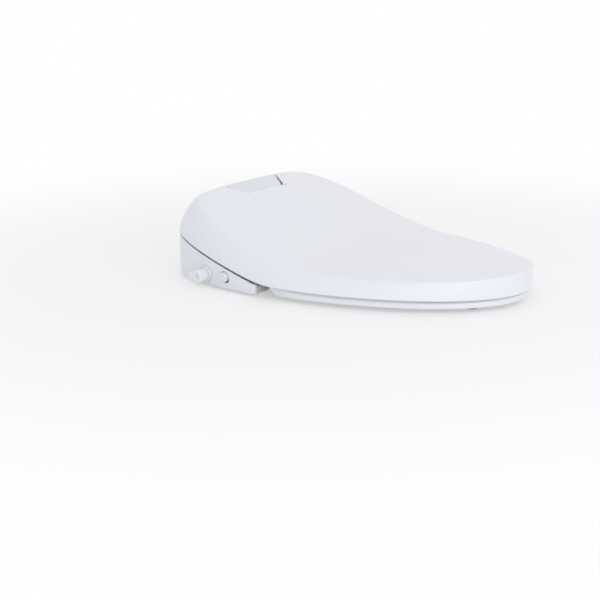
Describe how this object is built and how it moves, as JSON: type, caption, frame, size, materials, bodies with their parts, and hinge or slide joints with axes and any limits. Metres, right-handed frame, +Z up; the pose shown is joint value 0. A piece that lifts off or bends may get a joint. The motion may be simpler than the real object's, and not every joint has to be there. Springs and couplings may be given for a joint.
{
  "type": "electric bidet seat",
  "caption": "Electric bidet toilet seat: a heated ring seat under a deep sloping lid, hinged on a water and control unit with a retracting wand, sliding onto a bolted base plate.",
  "frame": {"origin": "halfway between the two mounting bolts, on the plane of the bowl rim that the base plate rests on", "axes": "+X to the front of the seat, +Y to the left of a person sitting on it, +Z up"},
  "size_m": [0.5318, 0.4097, 0.1236],
  "materials": {
    "cover_white": "glossy white moulded polypropylene",
    "base_white": "satin white moulded plastic",
    "panel_grey": "pale grey-green translucent panel",
    "button_pink": "pale pink insert",
    "rubber_grey": "soft light grey elastomer",
    "steel": "stainless steel",
    "plated_brass": "nickel-plated brass",
    "dark_plastic": "dark engineering plastic",
    "light_plastic": "natural engineering plastic",
    "board_green": "lacquered circuit board",
    "heater_foil": "film heater",
    "tank_grey": "grey water tank"
  },
  "bodies": {
    "base": {"base_plate": "base_white", "bolt_carriers": "dark_plastic"},
    "main_unit": {"slide_channel": "base_white", "lower_casing": "cover_white", "upper_casing": "cover_white", "side_deck_right": "cover_white", "side_deck_left": "cover_white", "nozzle_bay": "base_white", "indicator_panel": "panel_grey", "display_board": "board_green", "unit_feet": "rubber_grey", "casing_screws": "steel", "hinge_brackets": "steel", "hinge_shafts": "steel", "seat_damper": "dark_plastic", "lid_damper": "dark_plastic", "water_inlet": "plated_brass", "solenoid_valve": "base_white", "water_heater": "tank_grey", "flow_pump": "dark_plastic", "vacuum_breaker": "base_white", "water_pipes": "light_plastic", "control_board": "board_green", "power_board": "board_green", "power_gland": "light_plastic", "drain_valve": "base_white", "deodorizer_housing": "light_plastic", "odour_duct": "light_plastic", "dryer_housing": "dark_plastic", "dryer_duct": "light_plastic", "wand_guide": "light_plastic", "wand_motor": "steel", "door_pin": "steel"},
    "drain_knob": {"drain_knob": "cover_white"},
    "release": {"release_button": "cover_white", "button_insert": "button_pink", "latch_bar": "dark_plastic"},
    "cartridge": {"deodorizer_cartridge": "light_plastic"},
    "deodorizer_fan": {"deodorizer_fan": "dark_plastic"},
    "dryer_fan": {"dryer_fan": "dark_plastic"},
    "dryer_flap": {"dryer_flap": "base_white"},
    "wand": {"wand_tube": "steel", "wand_rack": "light_plastic", "nozzle_tip": "light_plastic"},
    "pinion": {"drive_pinion": "light_plastic"},
    "nozzle_door": {"nozzle_door": "base_white"},
    "seat": {"seat_upper_shell": "cover_white", "seat_base": "base_white", "seat_heater": "heater_foil", "occupancy_sensor": "board_green", "seat_bumpers": "rubber_grey"},
    "lid": {"lid_shell": "cover_white", "lid_bumpers": "rubber_grey"}
  },
  "joints": [
    {"name": "unit_slide", "type": "slide", "parent": "base", "child": "main_unit", "axis": [1, 0, 0], "range_m": [0, 0.06]},
    {"name": "seat_hinge", "type": "hinge", "parent": "main_unit", "child": "seat", "pos_m": [-0.048, 0, 0.095], "axis": [0, -1, 0], "range_deg": [0, 100]},
    {"name": "lid_hinge", "type": "hinge", "parent": "seat", "child": "lid", "pos_m": [-0.048, 0, 0.095], "axis": [0, 1, 0], "range_deg": [-105, 0]},
    {"name": "wand_slide", "type": "slide", "parent": "main_unit", "child": "wand", "axis": [0.866, 0, -0.5], "range_m": [0, 0.105]},
    {"name": "pinion_spin", "type": "hinge", "parent": "main_unit", "child": "pinion", "pos_m": [0.03698, 0, 0.03028], "axis": [0, 1, 0], "range_deg": [0, 1003]},
    {"name": "door_swing", "type": "hinge", "parent": "main_unit", "child": "nozzle_door", "pos_m": [0.106, 0, 0.034], "axis": [0, -1, 0], "range_deg": [0, 80]},
    {"name": "release_press", "type": "slide", "parent": "main_unit", "child": "release", "axis": [0, 1, 0], "range_m": [0, 0.004], "stiffness_N_per_m": 500},
    {"name": "knob_turn", "type": "hinge", "parent": "main_unit", "child": "drain_knob", "pos_m": [0.028, -0.2, 0.0195], "axis": [0, 1, 0], "range_deg": [0, 90]},
    {"name": "cartridge_slide", "type": "slide", "parent": "main_unit", "child": "cartridge", "axis": [0, 1, 0], "range_m": [0, 0.06]},
    {"name": "flap_swing", "type": "hinge", "parent": "main_unit", "child": "dryer_flap", "pos_m": [0.1014, -0.038, 0.0306], "axis": [0, -1, 0], "range_deg": [0, 60]},
    {"name": "dryer_fan_spin", "type": "hinge", "parent": "main_unit", "child": "dryer_fan", "pos_m": [0.044, -0.08, 0.038], "axis": [0, 1, 0], "continuous": true},
    {"name": "deodorizer_fan_spin", "type": "hinge", "parent": "main_unit", "child": "deodorizer_fan", "pos_m": [0.03, 0.127, 0.021], "axis": [0, 1, 0], "continuous": true}
  ],
  "couplings": [
    {"joint": "pinion_spin", "follows": "wand_slide", "rad_per_m": 166.67},
    {"joint": "door_swing", "follows": "wand_slide", "rad_per_m": 13.297}
  ]
}
